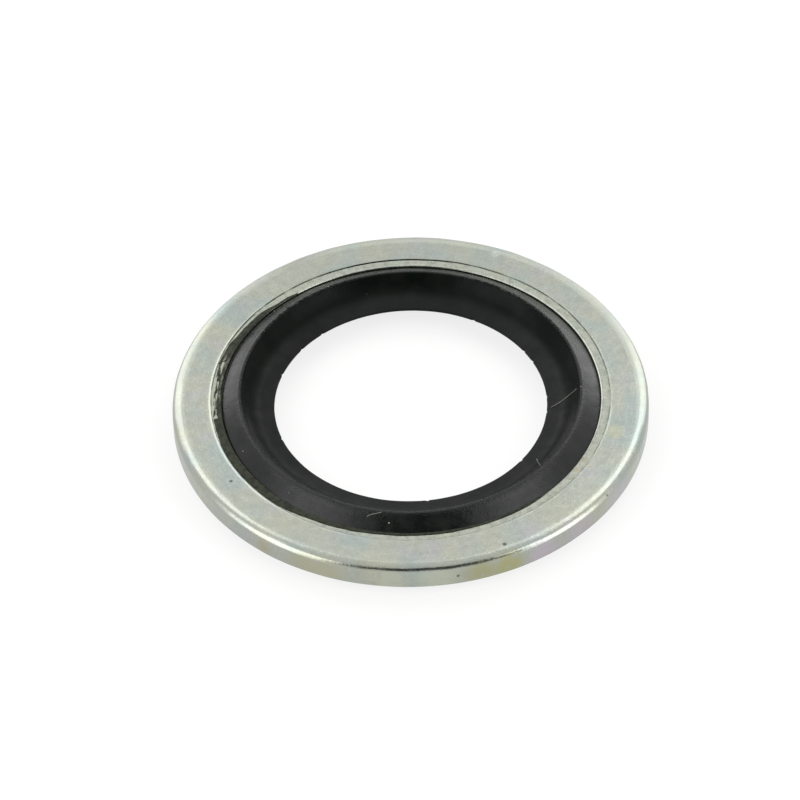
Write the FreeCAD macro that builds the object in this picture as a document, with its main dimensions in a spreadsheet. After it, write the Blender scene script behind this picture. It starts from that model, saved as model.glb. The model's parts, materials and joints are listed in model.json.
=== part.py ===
# Bonded sealing washer for a 16 mm threaded port, lying flat on its lower sealing crest.
# A blanked, zinc-plated steel ring carries the clamping load. A rubber seal is moulded and bonded into
# its bore: a bead that stands proud of both steel faces and runs inwards, through a thin web, to a narrow
# lip that centres the washer on the thread. The section is the same above and below the middle plane,
# except at the rim, where blanking rolls the upper edge over.
# Frame: millimetres, +Z up along the washer's axis, origin on the axis at the height of the lower crest.

import FreeCAD
import Part
import Sketcher

import math
import os

FULL_TURN = 360
ROOT_POINT = (-1, 1)
HORIZONTAL_AXIS = -1
START = 1
END = 2
CENTRE = 3
SAME_PLACE = 1e-6

# Driving dimensions: alias, value in millimetres, what it is.
SIZES = [
    ("lip_diameter", 16.0, "free bore of the rubber lip, for the thread"),
    ("seal_width", 3.15, "radial width of the rubber, from the lip out to the steel bore"),
    ("ring_width", 2.85, "radial width of the steel, from its bore out to the rim"),
    ("ring_thickness", 1.5, "steel strip thickness"),
    ("roll_over_width", 0.63, "how far in from the rim the blanked upper face starts to fall away"),
    ("roll_over_drop", 0.2, "how far it has fallen at the rim"),
    ("upper_rim_bevel", 0.1, "break between the rolled-over edge and the side wall"),
    ("lower_rim_bevel", 0.08, "break along the lower rim, left by tumbling"),
    ("clamp_land_width", 0.57, "ring pressed into each face beside the bore by the mould's shut-off"),
    ("clamp_land_depth", 0.08, "depth of that pressed ring"),
    ("bore_bevel", 0.1, "break on each edge of the steel bore"),
    ("bead_rise", 0.55, "how far each sealing crest stands proud of the steel face"),
    ("crest_setback", 1.1, "from the steel bore in to the middle of the crest"),
    ("crest_radius", 0.2, "round over the top of the crest"),
    ("root_setback", 0.93, "from the middle of the crest in to the root of the web"),
    ("web_root_height", 0.68, "thickness of the web at its root"),
    ("web_root_bevel", 0.25, "break that eases the inner flank into the web"),
    ("lip_height", 0.18, "height of the lip's straight wall"),
]

# Radii and heights that several features share, as formulas of the driving dimensions.
LIP_RADIUS = "Sizes.lip_diameter / 2"
BORE_RADIUS = f"{LIP_RADIUS} + Sizes.seal_width"
RIM_RADIUS = f"{BORE_RADIUS} + Sizes.ring_width"
LAND_RADIUS = f"{BORE_RADIUS} + Sizes.clamp_land_width"
HALF_THICKNESS = "Sizes.ring_thickness / 2"
BOND_HALF_HEIGHT = f"{HALF_THICKNESS} - Sizes.clamp_land_depth - Sizes.bore_bevel"
CREST_CENTRE_HEIGHT = f"{HALF_THICKNESS} + Sizes.bead_rise - Sizes.crest_radius"
MIDDLE_HEIGHT = f"Sizes.bead_rise + {HALF_THICKNESS}"


def size_sheet(doc):
    """The spreadsheet of driving dimensions, one plain number to a row."""
    sheet = doc.addObject("Spreadsheet::Sheet", "Sizes")
    for row, (alias, value, meaning) in enumerate(SIZES, start=1):
        sheet.set(f"A{row}", alias)
        sheet.set(f"B{row}", str(value))
        sheet.set(f"C{row}", meaning)
        sheet.setAlias(f"B{row}", alias)
    doc.recompute()
    return sheet


def new_body(doc, label):
    """A body whose own origin is on the washer's middle plane."""
    body = doc.addObject("PartDesign::Body", label)
    body.Label = label
    body.setExpression("Placement.Base.z", MIDDLE_HEIGHT)
    return body


def origin_feature(body, role):
    """One of the body's own origin planes or axes, by its role."""
    return next(f for f in body.Origin.OriginFeatures if f.Role == role)


def new_sketch(body, name, role):
    """An empty sketch on one of the body's origin planes."""
    sketch = body.newObject("Sketcher::SketchObject", name)
    sketch.AttachmentSupport = [(origin_feature(body, role), "")]
    sketch.MapMode = "FlatFace"
    return sketch


def constrain(sketch, kind, *places):
    """Adds a constraint that has no size."""
    sketch.addConstraint(Sketcher.Constraint(kind, *places))


def dimension(sketch, name, formula, kind, *places):
    """Adds a named dimension and binds it to the spreadsheet."""
    drawn = sketch.evalExpression(formula)
    index = sketch.addConstraint(Sketcher.Constraint(kind, *places, float(drawn)))
    sketch.renameConstraint(index, name)
    sketch.setExpression(f"Constraints.{name}", formula)


def segment(sketch, start, end):
    """A straight line between two (radius, height) points."""
    line = Part.LineSegment(FreeCAD.Vector(*start, 0), FreeCAD.Vector(*end, 0))
    return sketch.addGeometry(line, False)


def arc(sketch, centre, radius, start_angle, end_angle):
    """An arc of a circle, counterclockwise, with its angles in radians."""
    circle = Part.Circle(FreeCAD.Vector(*centre, 0), FreeCAD.Vector(0, 0, 1), radius)
    return sketch.addGeometry(Part.ArcOfCircle(circle, start_angle, end_angle), False)


def join(sketch, *edges):
    """The end of each edge is the start of the next."""
    for first, second in zip(edges, edges[1:]):
        constrain(sketch, "Coincident", first, END, second, START)


def revolve(body, sketch, name):
    """Turns a section about the washer's axis."""
    turned = body.newObject("PartDesign::Revolution", name)
    turned.Profile = sketch
    turned.ReferenceAxis = (sketch, ["V_Axis"])
    turned.Angle = FULL_TURN
    sketch.Visibility = False
    return turned


def mirror_below(body, feature, name):
    """Repeats a feature below the body's middle plane."""
    mirrored = body.newObject("PartDesign::Mirrored", name)
    mirrored.Originals = [feature]
    mirrored.MirrorPlane = (origin_feature(body, "XY_Plane"), [""])
    body.Tip = mirrored
    return mirrored


def ring_edges(feature, radius, *heights):
    """Names of the feature's circular edges of one radius at the given heights."""
    names = []
    for height in heights:
        found = [
            f"Edge{n}"
            for n, edge in enumerate(feature.Shape.Edges, start=1)
            if isinstance(edge.Curve, Part.Circle)
            and abs(edge.Curve.Radius - radius) < SAME_PLACE
            and abs(edge.Curve.Center.z - height) < SAME_PLACE
        ]
        if len(found) != 1:
            raise RuntimeError(f"{feature.Name} has no one round edge at {radius}, {height}")
        names += found
    return names


def bevel(body, name, size, radius, *heights):
    """Bevels circular edges of the feature at the body's tip."""
    body.Document.recompute()
    base = body.Tip
    chamfer = body.newObject("PartDesign::Chamfer", name)
    chamfer.Base = (base, ring_edges(base, radius, *heights))
    chamfer.setExpression("Size", size)
    return chamfer


def blank_sketch(body, sizes):
    """Section of the blanked ring: flat faces, straight bore and rim, and an arc where the edge rolls over."""
    sketch = new_sketch(body, "blank_section", "XZ_Plane")
    inner = sizes.lip_diameter / 2 + sizes.seal_width
    outer = inner + sizes.ring_width
    half = sizes.ring_thickness / 2
    width = sizes.roll_over_width
    drop = sizes.roll_over_drop
    roll_radius = (width**2 + drop**2) / (2 * drop)
    rim_angle = math.acos(width / roll_radius)

    lower = segment(sketch, (inner, -half), (outer, -half))
    rim = segment(sketch, (outer, -half), (outer, half - drop))
    roll = arc(sketch, (outer - width, half - roll_radius), roll_radius, rim_angle, math.pi / 2)
    upper = segment(sketch, (outer - width, half), (inner, half))
    bore = segment(sketch, (inner, half), (inner, -half))

    join(sketch, lower, rim, roll)
    join(sketch, upper, bore, lower)
    constrain(sketch, "Tangent", roll, END, upper, START)
    constrain(sketch, "Horizontal", lower)
    constrain(sketch, "Vertical", rim)
    constrain(sketch, "Horizontal", upper)
    constrain(sketch, "Symmetric", bore, START, bore, END, HORIZONTAL_AXIS)
    dimension(sketch, "bore_radius", BORE_RADIUS, "DistanceX", *ROOT_POINT, bore, START)
    dimension(sketch, "rim_radius", RIM_RADIUS, "DistanceX", *ROOT_POINT, rim, START)
    dimension(sketch, "thickness", "Sizes.ring_thickness", "DistanceY", bore, END, bore, START)
    dimension(sketch, "roll_width", "Sizes.roll_over_width", "DistanceX", upper, START, rim, END)
    dimension(sketch, "roll_drop", "Sizes.roll_over_drop", "DistanceY", rim, END, upper, START)
    return sketch


def clamp_land(body, sizes):
    """The shallow ring that the mould presses into the upper face beside the bore."""
    sketch = new_sketch(body, "clamp_land_outline", "XY_Plane")
    sketch.setExpression("AttachmentOffset.Base.z", HALF_THICKNESS)
    radius = sizes.lip_diameter / 2 + sizes.seal_width + sizes.clamp_land_width
    circle = Part.Circle(FreeCAD.Vector(0, 0, 0), FreeCAD.Vector(0, 0, 1), radius)
    outline = sketch.addGeometry(circle, False)
    constrain(sketch, "Coincident", outline, CENTRE, *ROOT_POINT)
    dimension(sketch, "land_radius", LAND_RADIUS, "Radius", outline)
    land = body.newObject("PartDesign::Pocket", "upper_clamp_land")
    land.Profile = sketch
    land.setExpression("Length", "Sizes.clamp_land_depth")
    sketch.Visibility = False
    return land


def steel_ring(doc, sizes):
    """Blank with a rolled-over upper edge, pressed lands beside the bore, and broken rims and bore edges."""
    body = new_body(doc, "steel_ring")
    revolve(body, blank_sketch(body, sizes), "blank")
    mirror_below(body, clamp_land(body, sizes), "both_clamp_lands")

    inner = sizes.lip_diameter / 2 + sizes.seal_width
    outer = inner + sizes.ring_width
    half = sizes.ring_thickness / 2
    land_height = half - sizes.clamp_land_depth
    bevel(body, "upper_rim_break", "Sizes.upper_rim_bevel", outer, half - sizes.roll_over_drop)
    bevel(body, "lower_rim_break", "Sizes.lower_rim_bevel", outer, -half)
    bevel(body, "bore_breaks", "Sizes.bore_bevel", inner, land_height, -land_height)
    return body


def tangent_angle(point, centre, radius):
    """Slope of the line that climbs from a point to touch the top side of a circle."""
    run = abs(centre[0] - point[0])
    climb = centre[1] - point[1]
    return math.atan2(climb, run) + math.asin(radius / math.hypot(run, climb))


def seal_sketch(body, sizes):
    """Upper half of the seal's section: bonded wall, outer slope, crest, inner flank, web and lip."""
    sketch = new_sketch(body, "seal_half_section", "XZ_Plane")
    wall = sizes.lip_diameter / 2 + sizes.seal_width
    half = sizes.ring_thickness / 2
    wall_top = (wall, half - sizes.clamp_land_depth - sizes.bore_bevel)
    radius = sizes.crest_radius
    centre = (wall - sizes.crest_setback, half + sizes.bead_rise - radius)
    root = (centre[0] - sizes.root_setback, sizes.web_root_height / 2)
    lip_top = (sizes.lip_diameter / 2, sizes.lip_height / 2)
    outer_angle = math.pi / 2 - tangent_angle(wall_top, centre, radius)
    inner_angle = math.pi / 2 + tangent_angle(root, centre, radius)

    def on_crest(angle):
        return centre[0] + radius * math.cos(angle), centre[1] + radius * math.sin(angle)

    bond = segment(sketch, (wall, 0), wall_top)
    outer_slope = segment(sketch, wall_top, on_crest(outer_angle))
    crest = arc(sketch, centre, radius, outer_angle, inner_angle)
    inner_flank = segment(sketch, on_crest(inner_angle), root)
    web = segment(sketch, root, lip_top)
    lip = segment(sketch, lip_top, (lip_top[0], 0))
    middle = segment(sketch, (lip_top[0], 0), (wall, 0))

    join(sketch, bond, outer_slope)
    join(sketch, inner_flank, web, lip, middle, bond)
    constrain(sketch, "Tangent", outer_slope, END, crest, START)
    constrain(sketch, "Tangent", crest, END, inner_flank, START)
    constrain(sketch, "Vertical", bond)
    constrain(sketch, "Vertical", lip)
    constrain(sketch, "PointOnObject", middle, START, HORIZONTAL_AXIS)
    constrain(sketch, "PointOnObject", middle, END, HORIZONTAL_AXIS)
    dimension(sketch, "wall_radius", BORE_RADIUS, "DistanceX", *ROOT_POINT, bond, START)
    dimension(sketch, "bond_height", BOND_HALF_HEIGHT, "DistanceY", bond, START, bond, END)
    dimension(sketch, "crest_setback", "Sizes.crest_setback", "DistanceX", crest, CENTRE, bond, START)
    dimension(sketch, "crest_height", CREST_CENTRE_HEIGHT, "DistanceY", *ROOT_POINT, crest, CENTRE)
    dimension(sketch, "crest_radius", "Sizes.crest_radius", "Radius", crest)
    dimension(sketch, "root_setback", "Sizes.root_setback", "DistanceX", web, START, crest, CENTRE)
    dimension(sketch, "root_height", "Sizes.web_root_height / 2", "DistanceY", *ROOT_POINT, web, START)
    dimension(sketch, "lip_radius", LIP_RADIUS, "DistanceX", *ROOT_POINT, lip, START)
    dimension(sketch, "lip_height", "Sizes.lip_height / 2", "DistanceY", lip, END, lip, START)
    return sketch


def rubber_seal(doc, sizes):
    """Moulded seal: the upper half turned, repeated below, with the flanks eased into the web."""
    body = new_body(doc, "rubber_seal")
    upper_half = revolve(body, seal_sketch(body, sizes), "upper_half")
    mirror_below(body, upper_half, "whole_moulding")

    wall = sizes.lip_diameter / 2 + sizes.seal_width
    root_radius = wall - sizes.crest_setback - sizes.root_setback
    root_height = sizes.web_root_height / 2
    bevel(body, "web_root_breaks", "Sizes.web_root_bevel", root_radius, root_height, -root_height)
    return body


def check(doc, bodies):
    """Stops before anything is written if an object failed or a piece isn't one closed solid."""
    for item in doc.Objects:
        if "Invalid" in item.State or "Error" in item.State:
            raise RuntimeError(f"{item.Label} failed: {item.State}")
        if item.isDerivedFrom("Sketcher::SketchObject") and not item.FullyConstrained:
            raise RuntimeError(f"{item.Label} isn't fully constrained")
    for body in bodies:
        if body.Shape.isNull() or not body.Shape.isValid() or len(body.Shape.Solids) != 1:
            raise RuntimeError(f"{body.Label} isn't one valid solid")


def main():
    doc = FreeCAD.newDocument("bonded_sealing_washer")
    sizes = size_sheet(doc)
    bodies = [steel_ring(doc, sizes), rubber_seal(doc, sizes)]
    doc.recompute()
    check(doc, bodies)
    os.makedirs("parts", exist_ok=True)
    for body in bodies:
        body.Shape.exportStep(f"parts/{body.Label}.step")
        print(body.Label, round(body.Shape.Volume, 3), "mm3", body.Shape.BoundBox)


main()
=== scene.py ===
"""Looks of a bonded sealing washer: a zinc plated steel ring with a rubber seal moulded in its bore."""

import json
import logging
import math
from collections.abc import Sequence
from dataclasses import dataclass
from enum import Enum

import bmesh
import bpy
from mathutils import Matrix, Quaternion, Vector, noise


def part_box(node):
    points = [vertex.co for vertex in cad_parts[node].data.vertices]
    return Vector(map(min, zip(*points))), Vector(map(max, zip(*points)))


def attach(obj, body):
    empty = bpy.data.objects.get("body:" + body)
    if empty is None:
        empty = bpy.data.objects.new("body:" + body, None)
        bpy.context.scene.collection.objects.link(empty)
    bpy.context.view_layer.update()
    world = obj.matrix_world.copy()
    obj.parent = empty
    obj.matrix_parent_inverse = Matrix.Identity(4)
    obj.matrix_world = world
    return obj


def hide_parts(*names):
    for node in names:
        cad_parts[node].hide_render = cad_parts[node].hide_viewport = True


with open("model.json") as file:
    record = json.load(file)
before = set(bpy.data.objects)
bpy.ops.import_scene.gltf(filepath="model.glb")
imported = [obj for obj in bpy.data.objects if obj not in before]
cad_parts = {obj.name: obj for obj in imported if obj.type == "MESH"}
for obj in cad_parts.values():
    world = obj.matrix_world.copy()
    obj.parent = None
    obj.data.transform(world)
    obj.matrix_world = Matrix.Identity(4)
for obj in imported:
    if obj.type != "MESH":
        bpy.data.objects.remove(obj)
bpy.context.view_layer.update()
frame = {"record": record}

MM = 0.001
FULL_TURN = 2 * math.pi
# A turn is spun as one sector, which is then doubled this many times.
DOUBLINGS = 4
# Points of neighbouring sectors that lie nearer than this, in millimetres, become one.
WELD = 0.0002
# Longest edge left in a turned section, in millimetres.
SECTION_STEP = 0.13
# Faces that meet at more than this angle, in degrees, keep a sharp edge.
SHARP_ANGLE = 40
# Share of a spot's reach where it is at full strength.
SPOT_CORE = 0.35
LOG = logging.getLogger("washer")

Socket = bpy.types.NodeSocket
Colour = tuple[float, float, float, float]


class Slot(Enum):
    """The record's material slots."""

    STEEL = "zinc_plated_steel"
    RUBBER = "moulded_rubber"


class Rays(Enum):
    """Outputs of a Light Path node that see the white background."""

    CAMERA = "Is Camera Ray"
    GLOSSY = "Is Glossy Ray"
    TRANSMISSION = "Is Transmission Ray"


def linear(hex_colour: str) -> Colour:
    """Turns a written sRGB colour to the linear one that a shader takes.

    Args:
        hex_colour: The colour as "#rrggbb".

    Returns:
        Red, green, blue and an alpha of 1.
    """
    shares = [int(hex_colour[place:place + 2], 16) / 255 for place in (1, 3, 5)]
    # The standard's curve: straight near black, and a power above.
    red, green, blue = (
        share / 12.92 if share <= 0.04045 else ((share + 0.055) / 1.055) ** 2.4 for share in shares
    )
    return red, green, blue, 1.0


def per_metre(feature_mm: float) -> float:
    """Pattern scale on Object coordinates for a feature of that size in millimetres."""
    return 1 / (feature_mm * MM)


def nearness(distance: float, reach: float) -> float:
    """Is 1 at no distance and fades softly to 0 beyond the reach."""
    return math.exp(-((distance / reach) ** 2))


def add_node(
    tree: bpy.types.NodeTree, kind: str, links: dict | None = None, **settings: object
) -> bpy.types.Node:
    """Adds a node with its settings and inputs.

    Args:
        tree: The node tree that gets it.
        kind: The node's type name.
        links: Input name or number to the socket that feeds it, or to its constant value.
        **settings: The node's own options.

    Returns:
        The new node.
    """
    made = tree.nodes.new(kind)
    for name, value in settings.items():
        setattr(made, name, value)
    for name, value in (links or {}).items():
        if isinstance(value, Socket):
            tree.links.new(value, made.inputs[name])
        else:
            made.inputs[name].default_value = value
    return made


def new_tree(owner: bpy.types.ID) -> bpy.types.NodeTree:
    """Empties the node tree of a material or world.

    Args:
        owner: The material or world.

    Returns:
        Its tree.
    """
    owner.use_nodes = True
    owner.node_tree.nodes.clear()
    return owner.node_tree


def polar(radius_mm: float, azimuth_deg: float, height_mm: float) -> Vector:
    """A place on the washer in metres, from its radius, azimuth and height."""
    turn = math.radians(azimuth_deg)
    return Vector((radius_mm * math.cos(turn), radius_mm * math.sin(turn), height_mm)) * MM


@dataclass(frozen=True)
class Corner:
    """A corner of a turned section, in millimetres.

    A round takes the length `soft` off both edges that meet there.
    """

    radius: float
    height: float
    soft: float = 0.0
    segments: int = 5


@dataclass(frozen=True)
class Wave:
    """Uneven waves of a surface: their depth in millimetres, and how many there are to a millimetre."""

    depth: float
    pitch: float

    def at(self, spot: Vector) -> float:
        """Height at a place in millimetres, below or above nothing."""
        return self.depth * noise.noise(spot * self.pitch)

    def dip(self, spot: Vector) -> float:
        """Depth at a place in millimetres, never less than nothing."""
        return self.depth + self.at(spot)


@dataclass(frozen=True)
class Dents:
    """Equal dents round the washer: their depth in millimetres, and their reach and places in degrees."""

    depth: float
    reach: float
    azimuths: tuple[float, ...]

    def at(self, azimuth: float) -> float:
        """Depth at an azimuth in degrees."""
        return sum(self.depth * nearness(azimuth - middle, self.reach) for middle in self.azimuths)


def spin_round(shell: bmesh.types.BMesh, facets: int) -> None:
    """Spins one sector and doubles it until the turn is full, which is quicker than one long spin.

    Args:
        shell: The section to spin, in the plane of X and Z.
        facets: Steps in the full turn, a multiple of the number of sectors.
    """
    sector = FULL_TURN / 2 ** DOUBLINGS
    bmesh.ops.spin(
        shell, geom=shell.verts[:] + shell.edges[:], cent=(0, 0, 0), axis=(0, 0, 1), angle=sector,
        steps=facets // 2 ** DOUBLINGS,
    )
    for doubling in range(DOUBLINGS):
        everything = shell.verts[:] + shell.edges[:] + shell.faces[:]
        copied = bmesh.ops.duplicate(shell, geom=everything)["geom"]
        moved = [part for part in copied if isinstance(part, bmesh.types.BMVert)]
        bmesh.ops.rotate(shell, verts=moved, matrix=Matrix.Rotation(sector * 2 ** doubling, 3, "Z"))
    bmesh.ops.remove_doubles(shell, verts=shell.verts[:], dist=WELD * MM)


def turned(corners: Sequence[Corner], facets: int) -> bmesh.types.BMesh:
    """Spins a closed section about the washer's axis.

    Args:
        corners: The section's corners in order.
        facets: Steps in the full turn.

    Returns:
        A closed shell in metres, its faces pointing outwards and its normals up to date.
    """
    shell = bmesh.new()
    points = [shell.verts.new((corner.radius * MM, 0, corner.height * MM)) for corner in corners]
    shell.faces.new(points)
    for point, corner in zip(points, corners):
        if corner.soft:
            bmesh.ops.bevel(
                shell, geom=[point], affect="VERTICES", offset=corner.soft * MM, offset_type="OFFSET",
                segments=corner.segments, profile=0.5, material=-1, clamp_overlap=False,
            )
    bmesh.ops.delete(shell, geom=shell.faces[:], context="FACES_ONLY")
    for edge in shell.edges[:]:
        cuts = int(edge.calc_length() / (SECTION_STEP * MM))
        if cuts:
            bmesh.ops.subdivide_edges(shell, edges=[edge], cuts=cuts)
    spin_round(shell, facets)
    bmesh.ops.recalc_face_normals(shell, faces=shell.faces[:])
    shell.normal_update()
    return shell


def sink(point: bmesh.types.BMVert, depth: float) -> None:
    """Moves a point of a shell inwards along its normal by a depth in millimetres."""
    point.co -= point.normal * depth * MM


def finish_piece(
    name: str, shell: bmesh.types.BMesh, material: bpy.types.Material
) -> bpy.types.Object:
    """Makes an object at the origin from a shell, dresses it and lets it ride on the washer.

    Args:
        name: The piece's name.
        shell: Its mesh in metres, freed here.
        material: Its finish.

    Returns:
        The finished piece.
    """
    mesh = bpy.data.meshes.new(name)
    shell.to_mesh(mesh)
    shell.free()
    mesh.materials.append(material)
    mesh.shade_smooth()
    mesh.set_sharp_from_angle(angle=math.radians(SHARP_ANGLE))
    piece = bpy.data.objects.new(name, mesh)
    bpy.context.scene.collection.objects.link(piece)
    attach(piece, "root")
    LOG.info("%s: %d faces", name, len(mesh.polygons))
    return piece


@dataclass(frozen=True)
class Spot:
    """A place on the washer, how far it reaches and how strong it is, in millimetres and degrees."""

    radius: float
    azimuth: float
    height: float
    reach: float
    strength: float


@dataclass(frozen=True)
class Stain(Spot):
    """A spot of another colour."""

    colour: str


@dataclass(frozen=True)
class Change:
    """A smooth change: the two inputs that it lies between, and what it gives at each of them."""

    begins: float
    ends: float
    first: float = 0.0
    last: float = 1.0

    def links(self, value: Socket, unit: float = 1.0) -> dict:
        """Inputs of a Map Range node that makes this change.

        Args:
            value: What it is a change of.
            unit: Size of the change's own unit, such as a millimetre in metres.

        Returns:
            Input names to sockets and numbers.
        """
        return {
            "Value": value, "From Min": self.begins * unit, "From Max": self.ends * unit,
            "To Min": self.first, "To Max": self.last,
        }


@dataclass(frozen=True)
class Cloud:
    """Patches of noise: size, detail, shift away from the other patterns, and which levels show.

    The size and the shift are in millimetres.
    """

    size: float
    detail: float
    shift: float
    shows: Change


@dataclass(frozen=True)
class Streaks:
    """Streaks of noise round the axis: length and width at a radius, detail, and which levels show.

    Lengths are in millimetres.
    """

    along: float
    across: float
    radius: float
    detail: float
    shows: Change


@dataclass(frozen=True)
class Grit:
    """Relief of an even grain: its size, detail, shift and depth, lengths in millimetres."""

    size: float
    detail: float
    shift: float
    depth: float


# Levels of noise that leave a spot's rim ragged.
SPOT_RIM = Change(0.25, 0.5)


@dataclass(frozen=True)
class Palette:
    """Patterns that the finishes share, in the node tree of one of them."""

    tree: bpy.types.NodeTree
    place: Socket

    def flat(self) -> Socket:
        """The place as seen from above, without its height."""
        links = {0: self.place, 1: (1, 1, 0)}
        return add_node(self.tree, "ShaderNodeVectorMath", links, operation="MULTIPLY").outputs[0]

    def radius(self) -> Socket:
        """Distance from the axis in metres."""
        made = add_node(self.tree, "ShaderNodeVectorMath", {0: self.flat()}, operation="LENGTH")
        return made.outputs["Value"]

    def ramp(self, change: Change) -> Socket:
        """What a change with the radius in millimetres gives."""
        links = change.links(self.radius(), MM)
        return add_node(self.tree, "ShaderNodeMapRange", links, interpolation_type="SMOOTHSTEP").outputs[0]

    def grain(self, size: float, detail: float, shift: float) -> Socket:
        """An even noise.

        Args:
            size: Size of its features in millimetres.
            detail: How much finer noise lies on it.
            shift: How far it is moved along each axis, in millimetres.

        Returns:
            The noise, from 0 to 1.
        """
        links = {0: self.place, 1: (shift * MM,) * 3}
        moved = add_node(self.tree, "ShaderNodeVectorMath", links, operation="ADD")
        links = {"Vector": moved.outputs[0], "Scale": per_metre(size), "Detail": detail}
        return add_node(self.tree, "ShaderNodeTexNoise", links).outputs[0]

    def cloud(self, cloud: Cloud) -> Socket:
        """Share of the patches."""
        links = cloud.shows.links(self.grain(cloud.size, cloud.detail, cloud.shift))
        return add_node(self.tree, "ShaderNodeMapRange", links, interpolation_type="SMOOTHSTEP").outputs[0]

    def streaks(self, streaks: Streaks) -> tuple[Socket, Socket]:
        """A noise drawn out round the axis, without a seam.

        The unit direction from the axis, made longer, stands for the way round. The radius and the height
        stand for the ways across.

        Args:
            streaks: Its sizes.

        Returns:
            The noise itself, from 0 to 1, and the share of the streaks.
        """
        way = add_node(self.tree, "ShaderNodeVectorMath", {0: self.flat()}, operation="NORMALIZE")
        links = {0: way.outputs[0], "Scale": streaks.radius / streaks.along}
        longer = add_node(self.tree, "ShaderNodeVectorMath", links, operation="SCALE")
        round_way = add_node(self.tree, "ShaderNodeSeparateXYZ", {0: longer.outputs[0]}).outputs
        height = add_node(self.tree, "ShaderNodeSeparateXYZ", {0: self.place}).outputs[2]
        out = self.overlap(self.radius(), per_metre(streaks.across))
        up = self.overlap(height, per_metre(streaks.across))
        joined = add_node(self.tree, "ShaderNodeCombineXYZ", {0: round_way[0], 1: round_way[1], 2: out})
        links = {"Vector": joined.outputs[0], "W": up, "Scale": 1.0, "Detail": streaks.detail}
        raw = add_node(self.tree, "ShaderNodeTexNoise", links, noise_dimensions="4D").outputs[0]
        links = streaks.shows.links(raw)
        share = add_node(self.tree, "ShaderNodeMapRange", links, interpolation_type="SMOOTHSTEP")
        return raw, share.outputs[0]

    def overlap(self, *shares: Socket | float) -> Socket:
        """Where several patterns show together.

        Args:
            *shares: Their shares, of which the first is a socket.

        Returns:
            The product of the shares.
        """
        together = shares[0]
        for share in shares[1:]:
            links = {0: together, 1: share}
            together = add_node(self.tree, "ShaderNodeMath", links, operation="MULTIPLY").outputs[0]
        return together

    def spot(self, spot: Spot) -> Socket:
        """Share of a spot: full at its middle, ragged at its rim.

        Args:
            spot: The spot.

        Returns:
            The share, from 0 to the spot's strength.
        """
        core = SPOT_CORE * spot.reach
        links = {0: self.place, 1: polar(spot.radius, spot.azimuth, spot.height)}
        away = add_node(self.tree, "ShaderNodeVectorMath", links, operation="DISTANCE").outputs["Value"]
        links = Change(spot.reach, core).links(away, MM)
        near = add_node(self.tree, "ShaderNodeMapRange", links, interpolation_type="SMOOTHSTEP").outputs[0]
        ragged = self.cloud(Cloud(core, detail=3.0, shift=spot.azimuth, shows=SPOT_RIM))
        return self.overlap(near, ragged, spot.strength)

    def coats(self, base: str, coats: Sequence[tuple[str, Socket]]) -> Socket:
        """Lays coats of colour over each other.

        Args:
            base: The colour under them.
            coats: Each coat's colour and share, from the lowest up.

        Returns:
            The colour.
        """
        colour = linear(base)
        for tone, share in coats:
            links = {0: share, 6: colour, 7: linear(tone)}
            colour = add_node(self.tree, "ShaderNodeMix", links, data_type="RGBA").outputs[2]
        return colour

    def rough(self, grit: Grit, under: Socket | None = None, share: Socket | None = None) -> Socket:
        """A relief of grit.

        Args:
            grit: The grit.
            under: Another relief that it lies on, if any.
            share: Where it is, if not everywhere.

        Returns:
            The normal.
        """
        height = self.grain(grit.size, grit.detail, grit.shift)
        if share is not None:
            height = self.overlap(height, share)
        links = {"Height": height, "Distance": grit.depth * MM, "Strength": 1.0}
        if under is not None:
            links["Normal"] = under
        return add_node(self.tree, "ShaderNodeBump", links).outputs[0]


def start_finish(name: str) -> tuple[bpy.types.Material, Palette]:
    """Starts a finish that reads Object coordinates.

    Args:
        name: The material's name.

    Returns:
        The material and the palette of its tree.
    """
    material = bpy.data.materials.new(name)
    tree = new_tree(material)
    place = add_node(tree, "ShaderNodeTexCoord").outputs["Object"]
    return material, Palette(tree, place)


def end_finish(tree: bpy.types.NodeTree, links: dict) -> None:
    """Ends a finish with a Principled shader that takes these inputs."""
    shader = add_node(tree, "ShaderNodeBsdfPrincipled", links)
    add_node(tree, "ShaderNodeOutputMaterial", {"Surface": shader.outputs[0]})


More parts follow.
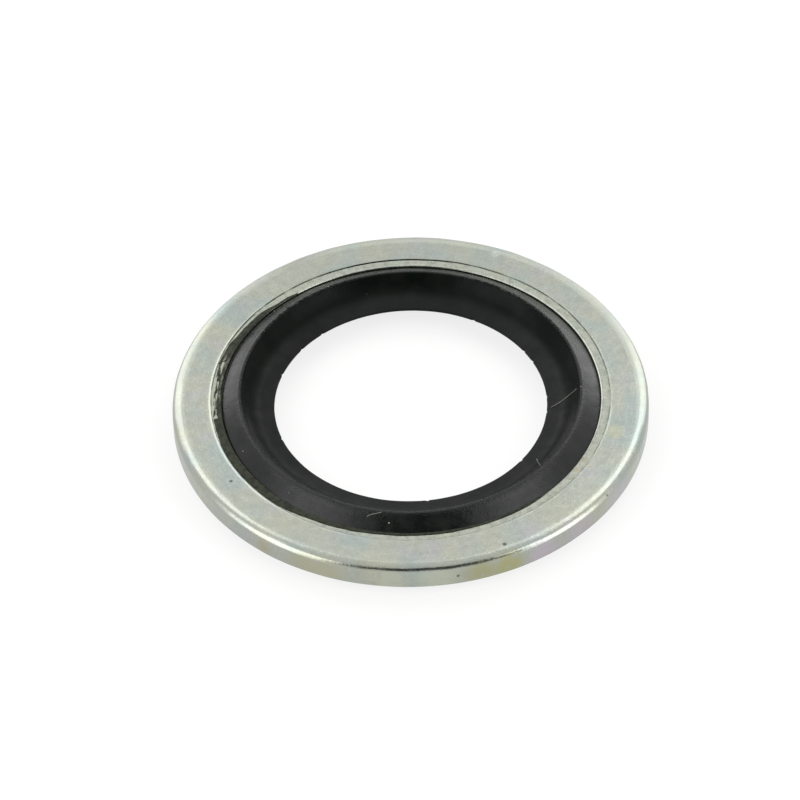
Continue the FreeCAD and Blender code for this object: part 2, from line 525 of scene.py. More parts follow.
@dataclass(frozen=True)
class ZincPlate:
    """Blanked steel, barrel plated with zinc and clear passivated.

    The plate is satin and pale. The passivation leaves it faintly green, with cream, blue and lilac clouds.
    The tumbling in the barrel leaves fine lines and dark pits. A dark line of painted shade lies in the
    groove beside the land.
    The plate's own crystals are a few hundredths of a millimetre wide, and are drawn coarser, to show.
    """

    plate: str = "#a6aaa0"
    shade: str = "#90958a"
    strip: str = "#abaea2"
    # Painted shade: the dark colour of the line in the groove at the land's edge.
    groove_shade: str = "#5f6356"
    tints: tuple[tuple[str, Cloud], ...] = (
        ("#abab9b", Cloud(3.2, 2.0, 0.0, Change(0.4, 0.8))),
        ("#9da7a3", Cloud(2.6, 1.5, 9.0, Change(0.42, 0.72))),
        ("#a6a7a6", Cloud(1.9, 1.5, 23.0, Change(0.5, 0.8))),
    )
    mottles: tuple[tuple[str, Cloud], ...] = (
        ("#90958a", Cloud(0.9, 3.0, 41.0, Change(0.5, 0.75, 0.0, 0.12))),
        ("#b7bbb0", Cloud(0.2, 3.0, 52.0, Change(0.5, 0.75, 0.0, 0.3))),
        ("#90958a", Cloud(0.17, 3.0, 63.0, Change(0.5, 0.75, 0.0, 0.3))),
    )
    lines: Streaks = Streaks(2.4, 0.09, 12.5, 2.0, Change(0.5, 0.8, 0.0, 0.3))
    line_depth: float = 0.003
    crystals: Grit = Grit(0.16, 2.0, 3.0, 0.0045)
    roll_grain: Grit = Grit(0.13, 2.0, 83.0, 0.004)
    satin: Cloud = Cloud(0.5, 3.0, 31.0, Change(0.3, 0.7, 0.23, 0.28))
    roll: Change = Change(13.1, 13.5)
    land: Change = Change(11.72, 11.70)
    land_share: float = 0.7
    rubbed: Cloud = Cloud(0.3, 4.0, 57.0, Change(0.42, 0.7, 0.0, 0.75))
    # Radii where the painted groove shade lies, broken up by noise.
    groove_inside: Change = Change(11.66, 11.69)
    groove_outside: Change = Change(11.76, 11.73)
    groove_shade_breaks: Cloud = Cloud(0.8, 3.0, 71.0, Change(0.35, 0.55, 0.1, 0.7))
    stains: tuple[Stain, ...] = (
        Stain(14.6, -85.0, 1.1, 1.8, 0.7, "#b4bba9"),
        Stain(14.6, -96.0, 1.1, 1.8, 0.6, "#b8baa6"),
        Stain(14.5, -67.5, 1.1, 1.5, 1.0, "#a3a27b"),
        Stain(14.5, -74.5, 1.1, 1.5, 0.9, "#a0a07c"),
        Stain(14.9, -58.0, 0.9, 1.9, 1.0, "#b2a9b3"),
        Stain(14.9, -47.0, 0.9, 1.9, 0.8, "#b0a8b1"),
        Stain(14.9, -33.0, 0.9, 1.9, 0.6, "#b3aeb5"),
        Stain(14.5, -111.0, 1.1, 1.6, 0.7, "#a9a88e"),
        Stain(14.5, -117.0, 1.1, 1.5, 0.7, "#a9a78b"),
        Stain(14.3, -127.5, 1.1, 0.8, 0.7, "#a39b80"),
        Stain(12.32, -16.4, 2.05, 0.8, 0.5, "#b5b396"),
        Stain(13.15, 65.8, 2.05, 0.4, 0.4, "#c9c8be"),
        Stain(11.4, -34.2, 1.97, 0.3, 0.7, "#a09a80"),
        Stain(11.4, -29.5, 1.97, 0.25, 0.7, "#a09a80"),
        Stain(12.41, -147.1, 2.05, 0.14, 1.0, "#5a5a4e"),
        Stain(13.22, -67.2, 2.05, 0.16, 1.0, "#55564c"),
        Stain(13.95, -36.8, 1.85, 0.12, 1.0, "#3c3c34"),
        Stain(14.0, -79.9, 1.2, 0.13, 1.0, "#5c5d52"),
    )
    frosts: tuple[Spot, Spot] = (
        Spot(14.0, 72.0, 2.05, 23.0, 0.25),
        Spot(14.0, -180.0, 2.05, 7.0, 0.09),
    )

    def colour(self, palette: Palette, lined: Socket) -> Socket:
        """Lays the plate's tints, lines, rubbed land, painted shade in the groove and stains over each
        other.

        Args:
            palette: The finish's palette.
            lined: Share of the tumbling lines.

        Returns:
            The colour.
        """
        land = palette.ramp(self.land)
        # Share of the painted shade in the groove beside the land.
        groove_shade = palette.overlap(
            palette.ramp(self.groove_inside), palette.ramp(self.groove_outside),
            palette.cloud(self.groove_shade_breaks),
        )
        coats = [(tone, palette.cloud(cloud)) for tone, cloud in self.tints]
        coats.append((self.shade, lined))
        coats += [(tone, palette.cloud(cloud)) for tone, cloud in self.mottles]
        coats.append((self.strip, palette.overlap(land, self.land_share)))
        coats.append((self.shade, palette.overlap(land, palette.cloud(self.rubbed))))
        coats.append((self.groove_shade, groove_shade))
        coats += [(stain.colour, palette.spot(stain)) for stain in self.stains]
        return palette.coats(self.plate, coats)

    def material(self) -> bpy.types.Material:
        """Builds the finish.

        Returns:
            The material.
        """
        material, palette = start_finish("clear_passivated_zinc")
        tree = palette.tree
        lines, lined = palette.streaks(self.lines)
        roll = palette.ramp(self.roll)
        links = {number: palette.spot(frost) for number, frost in enumerate(self.frosts)}
        frosted = add_node(tree, "ShaderNodeMath", links, operation="ADD").outputs[0]
        links = {0: roll, 1: frosted, 2: palette.cloud(self.satin)}
        satin = add_node(tree, "ShaderNodeMath", links, operation="MULTIPLY_ADD").outputs[0]
        links = {"Height": lines, "Distance": self.line_depth * MM, "Strength": 1.0}
        relief = add_node(tree, "ShaderNodeBump", links).outputs[0]
        relief = palette.rough(self.crystals, relief)
        relief = palette.rough(self.roll_grain, relief, roll)
        colour = self.colour(palette, lined)
        end_finish(tree, {"Base Color": colour, "Metallic": 1.0, "Roughness": satin, "Normal": relief})
        return material


@dataclass(frozen=True)
class MouldedRubber:
    """Black nitrile rubber, compression moulded against ground steel.

    It is nearly black and half matt, with a soft sheen on the bead and less of it on the web. Where the
    crest is torn, it has lost its moulded skin and its sheen. The grinding marks that it has from the mould
    are finer than the render shows, and are drawn coarser.
    """

    black: str = "#090e0b"
    bloom: str = "#121412"
    blooming: Cloud = Cloud(1.4, 3.0, 0.0, Change(0.4, 0.7))
    matt: Cloud = Cloud(0.7, 3.0, 12.0, Change(0.3, 0.7, 0.22, 0.32))
    web_matt: Change = Change(9.7, 9.2, 0.0, 0.22)
    skin: Grit = Grit(0.11, 3.0, 5.0, 0.007)
    hollows: Grit = Grit(0.8, 2.0, 7.0, 0.012)
    crest_grain: Grit = Grit(0.1, 3.0, 27.0, 0.03)
    crest_inside: Change = Change(9.86, 9.96)
    crest_outside: Change = Change(10.5, 10.1)
    web_sheen: Change = Change(8.85, 9.3, 0.14, 0.06)
    bead_sheen: Change = Change(9.9, 10.12, 0.0, 0.28)
    dull: Spot = Spot(8.3, 168.0, 1.5, 11.0, 1.0)
    dulling: Change = Change(0.0, 1.0, 1.0, 0.7)
    tears: tuple[Spot, Spot] = (
        Spot(10.1, 46.0, 2.6, 5.5, 1.0),
        Spot(10.1, 131.0, 2.6, 5.0, 1.0),
    )
    # In the tears the sheen begins this much farther out, in metres.
    bites: Cloud = Cloud(0.2, 3.0, 19.0, Change(0.44, 0.66, 0.0, -0.3 * MM))
    refraction: float = 1.5

    def sheen(self, palette: Palette) -> Socket:
        """Strength of the rubber's shine, on the web and on the bead.

        Args:
            palette: The finish's palette.

        Returns:
            The specular level.
        """
        tree = palette.tree
        links = self.dulling.links(palette.spot(self.dull))
        dull = add_node(tree, "ShaderNodeMapRange", links, interpolation_type="SMOOTHSTEP").outputs[0]
        links = {number: palette.spot(tear) for number, tear in enumerate(self.tears)}
        torn = add_node(tree, "ShaderNodeMath", links, operation="ADD").outputs[0]
        links = {0: torn, 1: palette.cloud(self.bites), 2: palette.radius()}
        frayed = add_node(tree, "ShaderNodeMath", links, operation="MULTIPLY_ADD").outputs[0]
        links = self.bead_sheen.links(frayed, MM)
        bead = add_node(tree, "ShaderNodeMapRange", links, interpolation_type="SMOOTHSTEP").outputs[0]
        links = {0: palette.ramp(self.web_sheen), 1: dull, 2: bead}
        return add_node(tree, "ShaderNodeMath", links, operation="MULTIPLY_ADD").outputs[0]

    def material(self) -> bpy.types.Material:
        """Builds the finish.

        Returns:
            The material.
        """
        material, palette = start_finish("nitrile_rubber")
        tree = palette.tree
        colour = palette.coats(self.black, [(self.bloom, palette.cloud(self.blooming))])
        links = {0: palette.cloud(self.matt), 1: palette.ramp(self.web_matt)}
        matt = add_node(tree, "ShaderNodeMath", links, operation="ADD").outputs[0]
        crest = palette.overlap(palette.ramp(self.crest_inside), palette.ramp(self.crest_outside))
        relief = palette.rough(self.hollows, palette.rough(self.skin))
        relief = palette.rough(self.crest_grain, relief, crest)
        end_finish(tree, {
            "Base Color": colour, "Roughness": matt, "IOR": self.refraction,
            "Specular IOR Level": self.sheen(palette), "Normal": relief,
        })
        return material


@dataclass(frozen=True)
class FlashFilm:
    """Thin nitrile flash that crept out over the steel in the mould.

    It is rough and olive black, and the plate glints through in flecks where the film is thinnest.
    """

    dark: str = "#14170f"
    olive: str = "#2b2f1f"
    glint: str = "#c9ccb8"
    thin: Cloud = Cloud(0.3, 3.0, 0.0, Change(0.35, 0.6))
    rim: Change = Change(11.35, 11.65, 0.2, 1.0)
    wear: Spot = Spot(11.6, 173.0, 1.97, 3.4, 1.0)
    flecks: Streaks = Streaks(0.7, 0.12, 11.5, 3.0, Change(0.46, 0.62))
    grit: Grit = Grit(0.09, 3.0, 2.0, 0.02)
    roughness: float = 0.5
    shine: float = 0.2

    def material(self) -> bpy.types.Material:
        """Builds the finish.

        Returns:
            The material.
        """
        material, palette = start_finish("nitrile_flash")
        flecks = palette.streaks(self.flecks)[1]
        bare = palette.overlap(flecks, palette.ramp(self.rim), palette.spot(self.wear))
        colour = palette.coats(self.dark, [(self.olive, palette.cloud(self.thin)), (self.glint, bare)])
        end_finish(palette.tree, {
            "Base Color": colour, "Metallic": bare, "Roughness": self.roughness,
            "Specular IOR Level": self.shine, "Normal": palette.rough(self.grit),
        })
        return material


@dataclass(frozen=True)
class CottonDust:
    """Cotton fibres and their broken ends.

    They scatter nearly all their light, which makes them dull and off-white, a little uneven.
    """

    name: str
    colour: str
    shade: str = "#8f8f88"
    mottle: Cloud = Cloud(0.05, 2.0, 0.0, Change(0.4, 0.7))
    roughness: float = 0.9
    shine: float = 0.2

    def material(self) -> bpy.types.Material:
        """Builds the finish.

        Returns:
            The material.
        """
        material, palette = start_finish(self.name)
        colour = palette.coats(self.colour, [(self.shade, palette.cloud(self.mottle))])
        end_finish(palette.tree, {
            "Base Color": colour, "Roughness": self.roughness, "Specular IOR Level": self.shine,
        })
        return material


@dataclass
class SteelRing:
    """The blanked ring: die roll above, straight wall, and a land pressed beside the bore on both faces.

    The roll is a soft bend at the face and a softer crease at the wall. The edge beside the upper land
    stands up a little, most of all on one side of the ring.
    """

    outer: float
    lower: float
    upper: float
    bore: float
    bore_round: float = 0.1
    land_width: float = 0.57
    land_depth: float = 0.06
    lower_land_round: float = 0.03
    lower_rim_round: float = 0.06
    upset_width: float = 0.12
    upset_rise: float = 0.018
    upset_foot: float = 0.04
    upset_round: float = 0.025
    upset_side: float = 156.0
    upset_fading: int = 3
    roll_width: float = 0.63
    roll_drop: float = 0.2
    bend_inset: float = 0.43
    bend_round: float = 0.14
    crease_round: float = 0.22
    waves: tuple[Wave, ...] = (Wave(0.010, 0.4), Wave(0.003, 1.9))
    crease_wave: Wave = Wave(0.020, 0.8)
    crease_reach: float = 0.24
    bend_wave: Wave = Wave(0.007, 0.6)
    bend_reach: float = 0.16
    roll_wave: Wave = Wave(0.0025, 3.1)
    edge_waves: tuple[Wave, ...] = (Wave(0.028, 0.5), Wave(0.016, 1.4))
    edge_reach: float = 0.09
    edge_calm: float = 0.6
    facets: int = 720

    def section(self) -> list[Corner]:
        """Corners of the ring's section, from the bore's lower edge round to its upper edge.

        Returns:
            The corners in order.
        """
        land = self.bore + self.land_width
        lower_land = self.lower + self.land_depth
        upper_land = self.upper - self.land_depth
        return [
            Corner(self.bore, lower_land, self.bore_round, segments=3),
            Corner(land, lower_land),
            Corner(land, self.lower, self.lower_land_round, segments=4),
            Corner(self.outer, self.lower, self.lower_rim_round),
            Corner(self.outer, self.upper - self.roll_drop, self.crease_round, segments=10),
            Corner(self.outer - self.bend_inset, self.upper, self.bend_round, segments=8),
            Corner(land + self.upset_width, self.upper, self.upset_foot, segments=3),
            Corner(land, self.upper + self.upset_rise, self.upset_round, segments=4),
            Corner(land, upper_land),
            Corner(self.bore, upper_land, self.bore_round, segments=4),
        ]

    def hollow(self, spot: Vector) -> float:
        """How far the surface has sunk, all in millimetres.

        Args:
            spot: The place.

        Returns:
            The depth.
        """
        radius = spot.xy.length
        depth = sum(wave.dip(spot) for wave in self.waves)
        crease = math.hypot(self.outer - radius, spot.z - self.upper + self.roll_drop)
        depth += self.crease_wave.dip(spot) * nearness(crease, self.crease_reach)
        bend = math.hypot(self.outer - self.bend_inset - radius, spot.z - self.upper)
        depth += self.bend_wave.dip(spot) * nearness(bend, self.bend_reach)
        if radius > self.outer - self.roll_width:
            depth += self.roll_wave.dip(spot)
        return depth

    def upset(self, spot: Vector) -> float:
        """Share of the raised edge: all of it on one side of the ring, none on the other."""
        turn = math.atan2(spot.y, spot.x) - math.radians(self.upset_side)
        return (0.5 + 0.5 * math.cos(turn)) ** self.upset_fading

    def build(self, finish: ZincPlate) -> bpy.types.Object:
        """Builds the ring and puts it in its CAD node's place.

        Args:
            finish: The plating.

        Returns:
            The ring.
        """
        shell = turned(self.section(), self.facets)
        for point in shell.verts:
            spot = point.co / MM
            radius = spot.xy.length
            beside = nearness(radius - self.bore - self.land_width, self.edge_reach)
            sink(point, self.hollow(spot) * (1 - self.edge_calm * beside))
            wander = sum(wave.at(spot) for wave in self.edge_waves)
            point.co.xy *= 1 + beside * wander / radius
            if spot.z > self.upper - self.land_depth / 2:
                point.co.z -= self.upset_rise * beside * (1 - self.upset(spot)) * MM
        ring = finish_piece("plated_ring", shell, finish.material())
        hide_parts("steel_ring")
        return ring


@dataclass
class SealMoulding:
    """The rubber moulding: a bead on each face, a hollow inside it, a thin web and the centring lip.

    The lip is nicked, and the upper crest is torn along two stretches.
    """

    outer: float
    middle: float
    crest_height: float
    lip: float
    bond_top: float = 1.87
    crest_radius: float = 10.05
    crest_round: float = 0.2
    root_radius: float = 9.12
    root_height: float = 1.64
    root_round: float = 0.42
    lip_height: float = 0.18
    lip_round: float = 0.04
    waves: tuple[Wave, ...] = (Wave(0.008, 0.7), Wave(0.003, 2.4))
    nick_width: float = 0.2
    nicks: Dents = Dents(
        0.06, 0.6, (-160.0, -84.0, -38.0, -7.0, 2.3, 24.8, 32.0, 61.0, 130.2, 143.0, 160.2)
    )
    tear_inset: float = 0.03
    tear_width: float = 0.14
    tears: Dents = Dents(0.05, 16.0, (44.0, 132.0))
    teeth: float = 0.5
    long_teeth: Wave = Wave(1.1, 2.6)
    short_teeth: Wave = Wave(0.6, 4.3)
    facets: int = 720

    def slopes(self) -> tuple[float, float]:
        """Steepness of the bead's two sides.

        Returns:
            The outer slope's and the inner flank's, as tangents.
        """
        middle = Vector((self.crest_radius, self.crest_height - self.crest_round))
        steepness = []
        for foot in (Vector((self.outer, self.bond_top)), Vector((self.root_radius, self.root_height))):
            reach = middle - foot
            rise = math.atan2(reach.y, abs(reach.x)) + math.asin(self.crest_round / reach.length)
            steepness.append(math.tan(rise))
        return steepness[0], steepness[1]

    def peak(self) -> tuple[float, float]:
        """Where the slope and the flank would meet without the crest's round.

        Returns:
            The radius and the height.
        """
        slope, flank = self.slopes()
        across = self.outer - self.root_radius
        out = (self.bond_top - self.root_height + slope * across) / (slope + flank)
        return self.root_radius + out, self.root_height + flank * out

    def section(self) -> list[Corner]:
        """Corners of the moulding's section, both faces alike.

        Returns:
            The corners in order.
        """
        slope, flank = self.slopes()
        radius, height = self.peak()
        tangent = self.crest_round * math.tan((math.atan(slope) + math.atan(flank)) / 2)
        upper = [
            Corner(self.lip, self.middle + self.lip_height / 2, self.lip_round, segments=4),
            Corner(self.root_radius, self.root_height, self.root_round, segments=10),
            Corner(radius, height, tangent, segments=14),
            Corner(self.outer, self.bond_top),
        ]
        lower = [
            Corner(corner.radius, 2 * self.middle - corner.height, corner.soft, corner.segments)
            for corner in reversed(upper)
        ]
        return upper + lower

    def surface(self, radius: float) -> float:
        """Height of the upper surface, all in millimetres.

        Args:
            radius: Distance from the axis.

        Returns:
            The height.
        """
        slope, flank = self.slopes()
        lip_top = self.middle + self.lip_height / 2
        climb = (self.root_height - lip_top) / (self.root_radius - self.lip)
        web = lip_top + climb * (radius - self.lip)
        inside = self.root_height + flank * (radius - self.root_radius)
        return min(self.crest_height, self.bond_top + slope * (self.outer - radius), max(inside, web))

    def bite(self, spot: Vector) -> float:
        """How hard a tear bites along the crest, in uneven teeth.

        Args:
            spot: The place in millimetres.

        Returns:
            The share of the tear's depth.
        """
        rim = spot.xy.normalized().to_3d() * self.crest_radius
        teeth = self.teeth + self.long_teeth.at(rim) + self.short_teeth.at(spot)
        away = spot.xy.length - self.crest_radius + self.tear_inset
        return nearness(away, self.tear_width) * max(0.0, teeth)

    def build(self, finish: MouldedRubber) -> bpy.types.Object:
        """Builds the moulding and puts it in its CAD node's place.

        Args:
            finish: The rubber.

        Returns:
            The moulding.
        """
        shell = turned(self.section(), self.facets)
        for point in shell.verts:
            spot = point.co / MM
            azimuth = math.degrees(math.atan2(spot.y, spot.x))
            depth = sum(wave.dip(spot) for wave in self.waves)
            sink(point, depth + self.tears.at(azimuth) * self.bite(spot))
            if spot.xy.length < self.lip + self.nick_width:
                point.co.xy *= 1 + self.nicks.at(azimuth) / self.lip
        seal = finish_piece("seal_moulding", shell, finish.material())
        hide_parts("rubber_seal")
        return seal


@dataclass
class MouldFlash:
    """The film of flash on the pressed land: wide on one side, a thread or nothing on the other.

    Its reach is its width in millimetres at azimuths in degrees. It is torn between two of them.
    """

    inner: float
    land: float
    thickness: float = 0.035
    full_width: float = 0.2
    least_width: float = 0.06
    underlay: float = 0.03
    edge_fall: int = 6
    lumps: Wave = Wave(0.5, 4)
    edge_waves: tuple[Wave, ...] = (Wave(0.035, 1.2), Wave(0.025, 2.6))
    tear_start: float = 160.0
    tear_end: float = -172.0
    tear_inset: float = 0.35
    tear_size: float = 12.0
    tear_stretch: float = 5.5
    tear_level: float = 0.08
    tear_waves: tuple[Wave, ...] = (Wave(1.0, 1.0), Wave(0.25, 3.0))
    facets: int = 1440
    strips: int = 10
    reach: tuple[tuple[float, float], ...] = (
        (-180.0, 0.40), (-170.0, 0.48), (-152.0, 0.54), (-132.0, 0.50), (-118.0, 0.29), (-109.0, 0.23),
        (-98.0, 0.17), (-52.0, 0.14), (-42.0, 0.0), (122.0, 0.0), (132.0, 0.14), (142.0, 0.36),
        (152.0, 0.40), (158.0, 0.52), (167.0, 0.55), (173.0, 0.35), (180.0, 0.40),
    )

    def width(self, azimuth: float) -> float:
        """Width of the film in millimetres.

        Args:
            azimuth: Where, in degrees.

        Returns:
            The width, 0 where there is no film.
        """
        for (start, first), (end, last) in zip(self.reach, self.reach[1:]):
            if start <= azimuth <= end:
                share = (azimuth - start) / (end - start)
                broad = first + (last - first) * share * share * (3 - 2 * share)
                edge = polar(self.inner, azimuth, 0) / MM
                ragged = sum(wave.at(edge) for wave in self.edge_waves)
                return max(0.0, broad + ragged * min(1.0, broad / self.full_width))
        return 0.0

    def is_bare(self, azimuth: float, out: float) -> bool:
        """Tells where the film is missing.

        Args:
            azimuth: Where, in degrees.
            out: Share of the film's width.

        Returns:
            True where there is no film, or where it has torn and the plate shows.
        """
        if self.width(azimuth) < self.least_width:
            return True
        torn = self.tear_start < azimuth or azimuth < self.tear_end
        spot = polar(self.tear_size, azimuth, out * self.tear_stretch) / MM
        level = sum(wave.at(spot) for wave in self.tear_waves)
        return torn and self.tear_inset < out and level > self.tear_level

    def build(self, finish: FlashFilm) -> bpy.types.Object:
        """Builds the film on the ring's upper land.

        It is spun 1 mm wide, so that a distance from its inner edge is a share of its width.

        Args:
            finish: The film's rubber.

        Returns:
            The film.
        """
        shell = bmesh.new()
        start = shell.verts.new((self.inner * MM, 0, self.land * MM))
        end = shell.verts.new(((self.inner + 1) * MM, 0, self.land * MM))
        line = shell.edges.new((start, end))
        bmesh.ops.subdivide_edges(shell, edges=[line], cuts=self.strips - 1)
        spin_round(shell, self.facets)
        shell.normal_update()
        if sum(face.normal.z for face in shell.faces) < 0:
            bmesh.ops.reverse_faces(shell, faces=shell.faces[:])
        bare = []
        for face in shell.faces:
            middle = face.calc_center_median()
            azimuth = math.degrees(math.atan2(middle.y, middle.x))
            if self.is_bare(azimuth, middle.xy.length / MM - self.inner):
                bare.append(face)
        bmesh.ops.delete(shell, geom=bare, context="FACES")
        for point in shell.verts:
            out = point.co.xy.length / MM - self.inner
            azimuth = math.degrees(math.atan2(point.co.y, point.co.x))
            width = self.width(azimuth)
            place = polar(self.inner + out * width, azimuth, 0)
            top = self.thickness * (1 + self.lumps.at(place / MM)) * min(1.0, width / self.full_width)
            top *= math.sqrt(max(0.0, 1 - out ** self.edge_fall))
            point.co = (place.x, place.y, (self.land + top) * MM)
        bmesh.ops.solidify(shell, geom=shell.faces[:], thickness=self.underlay * MM)
        return finish_piece("seal_flash", shell, finish.material())


@dataclass(frozen=True)
class Lint:
    """Dust grains and lint hairs that lie on the rubber.

    A grain is an azimuth, a radius and a size. A hair is the points that it runs through, each an azimuth
    and a radius.
    """

    moulding: SealMoulding
    crest_room: float = 0.035
    bedding: float = 0.02
    hair_lift: float = 0.03
    hair_thickness: float = 0.022
    lumps: Wave = Wave(0.5, 30)
    grains: tuple[tuple[float, float, float], ...] = (
        (-155.5, 10.73, 0.05), (-131.6, 10.65, 0.055), (-97.5, 10.62, 0.07), (105.5, 9.28, 0.035),
        (118.4, 10.11, 0.04), (137.1, 11.0, 0.04), (-1.0, 9.99, 0.05), (-3.1, 10.05, 0.04),
        (-60.0, 8.9, 0.03), (-148.0, 9.4, 0.03), (64.0, 9.0, 0.03),
    )
    hairs: tuple[tuple[tuple[float, float], ...], ...] = (
        ((-0.2, 10.0), (-1.0, 9.46), (-3.2, 8.74), (-5.1, 8.25)),
        ((-34.9, 8.8), (-36.6, 9.05), (-38.2, 9.35), (-40.2, 9.62)),
        ((-104.6, 10.45), (-103.4, 10.3), (-101.6, 10.24), (-100.2, 10.12)),
    )

    def rest(self, azimuth: float, radius: float, lift: float) -> Vector:
        """The place in metres at that lift over the rubber, which the lint beds into a little."""
        highest = self.moulding.crest_height - self.crest_room
        return polar(radius, azimuth, min(self.moulding.surface(radius) - self.bedding + lift, highest))

    def build_grains(self, finish: CottonDust) -> bpy.types.Object:
        """Scatters the dust grains.

        Args:
            finish: The dust.

        Returns:
            The grains, as one piece.
        """
        shell = bmesh.new()
        for azimuth, radius, size in self.grains:
            made = bmesh.ops.create_icosphere(shell, subdivisions=2, radius=size / 2 * MM)
            shift = Vector((azimuth / self.lumps.pitch, 0, 0))
            for point in made["verts"]:
                point.co *= 1 + self.lumps.at(point.co / MM + shift)
            bmesh.ops.translate(shell, verts=made["verts"], vec=self.rest(azimuth, radius, size / 3))
        return finish_piece("dust_grains", shell, finish.material())

    def build_hairs(self, finish: CottonDust) -> bpy.types.Object:
        """Lays the lint hairs along the rubber.

        Args:
            finish: The lint.

        Returns:
            The hairs, as one piece.
        """
        curve = bpy.data.curves.new("lint_hairs", "CURVE")
        curve.dimensions = "3D"
        curve.bevel_depth = self.hair_thickness / 2 * MM
        curve.bevel_resolution = 2
        curve.use_fill_caps = True
        for hair in self.hairs:
            spline = curve.splines.new("NURBS")
            spline.points.add(len(hair) - 1)
            for point, (azimuth, radius) in zip(spline.points, hair):
                point.co = (*self.rest(azimuth, radius, self.hair_lift), 1)
            spline.order_u = 3
            spline.use_endpoint_u = True
        curve.materials.append(finish.material())
        hairs = bpy.data.objects.new("lint_hairs", curve)
        bpy.context.scene.collection.objects.link(hairs)
        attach(hairs, "root")
        LOG.info("lint_hairs: %d hairs", len(self.hairs))
        return hairs


@dataclass(frozen=True)
class Softbox:
    """A plain soft lamp that looks at the washer. Angles in degrees, lengths in metres, power in watts."""

    name: str
    azimuth: float
    elevation: float
    distance: float
    width: float
    height: float
    power: float

    def build(self) -> bpy.types.Object:
        """Builds the lamp.

        Returns:
            The lamp.
        """
        lamp = bpy.data.lights.new(self.name, "AREA")
        lamp.shape = "RECTANGLE"
        lamp.size = self.width
        lamp.size_y = self.height
        lamp.energy = self.power
        placed = bpy.data.objects.new(self.name, lamp)
        turn = math.radians(self.azimuth)
        rise = math.radians(self.elevation)
        flat = math.cos(rise)
        towards = Vector((math.cos(turn) * flat, math.sin(turn) * flat, math.sin(rise)))
        placed.location = towards * self.distance
        placed.rotation_euler = (-towards).to_track_quat("-Z", "Y").to_euler()
        placed.visible_camera = False
        bpy.context.scene.collection.objects.link(placed)
        return placed


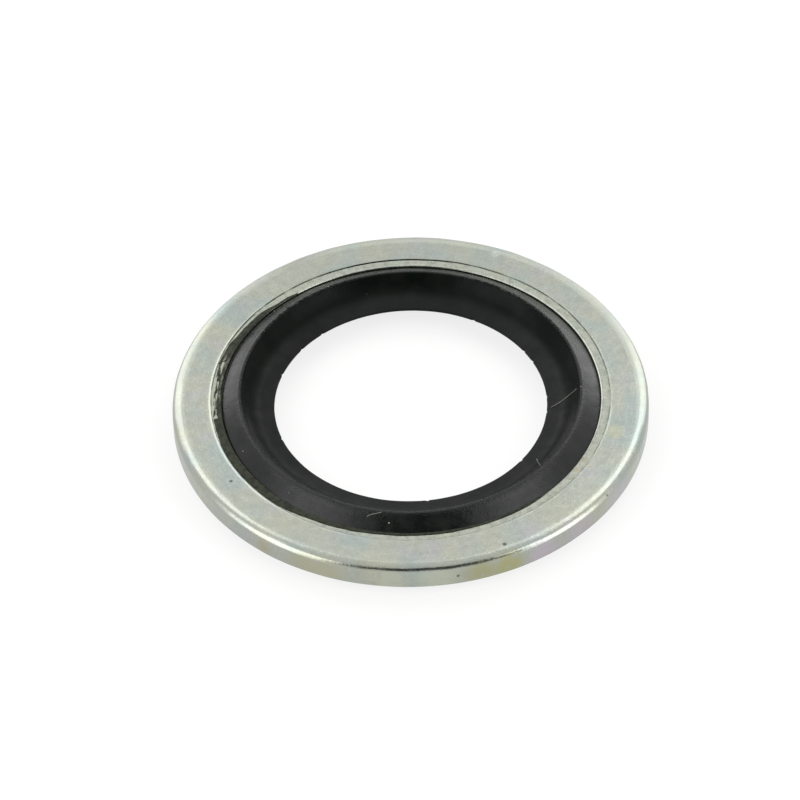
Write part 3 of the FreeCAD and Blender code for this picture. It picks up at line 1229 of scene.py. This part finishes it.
@dataclass
class Studio:
    """A light tent: pale floor, white surroundings, four softboxes and a dark opening round the camera.

    Lengths are in metres and angles in degrees.
    """

    floor_size: float = 4.0
    floor_colour: str = "#fafaf8"
    floor_glow: float = 0.8
    fill: float = 0.8
    cloth_colour: str = "#2a2a2a"
    cloth_distance: float = 0.6
    cloth_low: float = 20.0
    cloth_high: float = 70.0
    cloth_right: float = -44.0
    cloth_left: float = -124.0
    cloth_steps: int = 12
    softboxes: tuple[Softbox, ...] = (
        Softbox("far_right_softbox", 57, 30, 0.5, 0.26, 0.62, 0.95),
        Softbox("far_left_softbox", 123, 30, 0.5, 0.26, 0.62, 0.8),
        Softbox("near_right_softbox", -24, 26, 0.5, 0.28, 0.56, 1.0),
        Softbox("near_left_softbox", 208, 26, 0.5, 0.36, 0.56, 1.2),
    )

    def white_rays(self, tree: bpy.types.NodeTree) -> Socket:
        """Tells the rays that see the white background from the light on the washer.

        Args:
            tree: The node tree that asks.

        Returns:
            1 for those rays and 0 for the others.
        """
        path = add_node(tree, "ShaderNodeLightPath")
        camera, glossy, transmitted = (path.outputs[rays.value] for rays in Rays)
        either = add_node(tree, "ShaderNodeMath", {0: camera, 1: glossy}, operation="MAXIMUM")
        links = {0: either.outputs[0], 1: transmitted}
        return add_node(tree, "ShaderNodeMath", links, operation="MAXIMUM").outputs[0]

    def stand(self, name: str, shell: bmesh.types.BMesh, material: bpy.types.Material) -> bpy.types.Object:
        """Makes a part of the set, which isn't part of the washer.

        Args:
            name: Its name.
            shell: Its mesh in metres, freed here.
            material: Its finish.

        Returns:
            The part of the set.
        """
        mesh = bpy.data.meshes.new(name)
        shell.to_mesh(mesh)
        shell.free()
        mesh.materials.append(material)
        stood = bpy.data.objects.new(name, mesh)
        bpy.context.scene.collection.objects.link(stood)
        return stood

    def build_world(self) -> None:
        """Surrounds the washer with white."""
        world = bpy.data.worlds.new("light_tent")
        tree = new_tree(world)
        white = add_node(tree, "ShaderNodeBackground", {"Color": (1, 1, 1, 1), "Strength": 1.0})
        fill = add_node(tree, "ShaderNodeBackground", {"Color": (1, 1, 1, 1), "Strength": self.fill})
        both = add_node(
            tree, "ShaderNodeMixShader", {0: self.white_rays(tree), 1: fill.outputs[0], 2: white.outputs[0]}
        )
        add_node(tree, "ShaderNodeOutputWorld", {"Surface": both.outputs[0]})
        bpy.context.scene.world = world

    def white_card(self) -> bpy.types.Material:
        """Matt white card, which takes a soft shadow and otherwise looks as white as the tent.

        Returns:
            The material.
        """
        material = bpy.data.materials.new("white_card")
        tree = new_tree(material)
        card = add_node(tree, "ShaderNodeBsdfDiffuse", {"Color": linear(self.floor_colour)})
        glow = add_node(tree, "ShaderNodeEmission", {"Color": (1, 1, 1, 1), "Strength": 1.0})
        links = {0: self.white_rays(tree), 1: self.floor_glow}
        share = add_node(tree, "ShaderNodeMath", links, operation="MULTIPLY")
        both = add_node(
            tree, "ShaderNodeMixShader", {0: share.outputs[0], 1: card.outputs[0], 2: glow.outputs[0]}
        )
        add_node(tree, "ShaderNodeOutputMaterial", {"Surface": both.outputs[0]})
        return material

    def build_floor(self, level: float) -> bpy.types.Object:
        """Lays the pale floor under the washer.

        Args:
            level: Its height in metres.

        Returns:
            The floor.
        """
        shell = bmesh.new()
        bmesh.ops.create_grid(shell, x_segments=1, y_segments=1, size=self.floor_size / 2)
        bmesh.ops.translate(shell, verts=shell.verts[:], vec=(0, 0, level))
        return self.stand("floor", shell, self.white_card())

    def black_cloth(self) -> bpy.types.Material:
        """Matt black cotton cloth, which darkens what the plate and the rubber mirror of the camera's side.

        Returns:
            The material.
        """
        material = bpy.data.materials.new("black_cloth")
        tree = new_tree(material)
        cloth = add_node(tree, "ShaderNodeBsdfDiffuse", {"Color": linear(self.cloth_colour)})
        add_node(tree, "ShaderNodeOutputMaterial", {"Surface": cloth.outputs[0]})
        return material

    def build_opening(self) -> bpy.types.Object:
        """Hangs the dark cloth round the camera, which the washer reflects as the tent's opening.

        Returns:
            The cloth.
        """
        shell = bmesh.new()
        low, high, right, left = (
            math.radians(angle)
            for angle in (self.cloth_low, self.cloth_high, self.cloth_right, self.cloth_left)
        )
        place = (self.cloth_distance * math.cos(low), 0, self.cloth_distance * math.sin(low))
        point = shell.verts.new(place)
        bmesh.ops.spin(
            shell, geom=[point], cent=(0, 0, 0), axis=(0, -1, 0), angle=high - low, steps=self.cloth_steps
        )
        bmesh.ops.rotate(shell, verts=shell.verts[:], matrix=Matrix.Rotation(left, 3, "Z"))
        bmesh.ops.spin(
            shell, geom=shell.verts[:] + shell.edges[:], cent=(0, 0, 0), axis=(0, 0, 1),
            angle=right - left, steps=self.cloth_steps,
        )
        opening = self.stand("dark_opening", shell, self.black_cloth())
        opening.visible_camera = False
        return opening

    def build(self, level: float) -> None:
        """Builds the whole set.

        Args:
            level: The floor's height in metres.
        """
        self.build_world()
        self.build_floor(level)
        self.build_opening()
        for softbox in self.softboxes:
            softbox.build()


@dataclass(frozen=True)
class Viewpoint:
    """The photograph's camera.

    Lengths are in millimetres, angles in degrees and offsets in pixels of a frame of 800.
    """

    target_height: float = 0.55
    distance: float = 233.33
    elevation: float = 44.877
    roll: float = -1.312
    sensor: float = 36.0
    nearest: float = 10.0
    farthest: float = 20000.0
    focal_pixels: float = 3959.8
    frame_pixels: float = 800.0
    right_pixels: float = 10.863
    down_pixels: float = 12.648

    def build(self) -> bpy.types.Object:
        """Places the camera and makes it the scene's own.

        Returns:
            The camera.
        """
        lens = bpy.data.cameras.new("camera")
        lens.sensor_width = self.sensor
        lens.lens = self.focal_pixels / self.frame_pixels * self.sensor
        lens.shift_x = -self.right_pixels / self.frame_pixels
        lens.shift_y = self.down_pixels / self.frame_pixels
        lens.clip_start = self.nearest * MM
        lens.clip_end = self.farthest * MM
        camera = bpy.data.objects.new("camera", lens)
        rise = math.radians(self.elevation)
        away = Vector((0, -math.cos(rise), math.sin(rise))) * self.distance
        camera.location = (away + Vector((0, 0, self.target_height))) * MM
        tilt = Quaternion((1, 0, 0), math.pi / 2 - rise) @ Quaternion((0, 0, 1), math.radians(self.roll))
        camera.rotation_euler = tilt.to_euler()
        bpy.context.scene.collection.objects.link(camera)
        bpy.context.scene.camera = camera
        return camera


def main() -> None:
    """Builds the washer's pieces in order, then the set and the camera."""
    logging.basicConfig(level=logging.INFO, format="%(name)s %(message)s")
    bpy.context.scene.view_settings.view_transform = "Standard"
    steel_low, steel_high = (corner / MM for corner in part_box("steel_ring"))
    seal_low, seal_high = (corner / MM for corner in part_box("rubber_seal"))
    lip = frame["record"]["mounts"][0]["dims"]["r_mm"]
    ring = SteelRing(steel_high.x, steel_low.z, steel_high.z, seal_high.x)
    ring.build(ZincPlate())
    moulding = SealMoulding(seal_high.x, (seal_low.z + seal_high.z) / 2, seal_high.z, lip)
    moulding.build(MouldedRubber())
    MouldFlash(seal_high.x, steel_high.z - ring.land_depth).build(FlashFilm())
    lint = Lint(moulding)
    lint.build_grains(CottonDust("cotton_dust", "#dcdcd4"))
    lint.build_hairs(CottonDust("cotton_lint", "#a9a9a2"))
    Studio().build(seal_low.z * MM)
    Viewpoint().build()


if __name__ == "__main__":
    main()
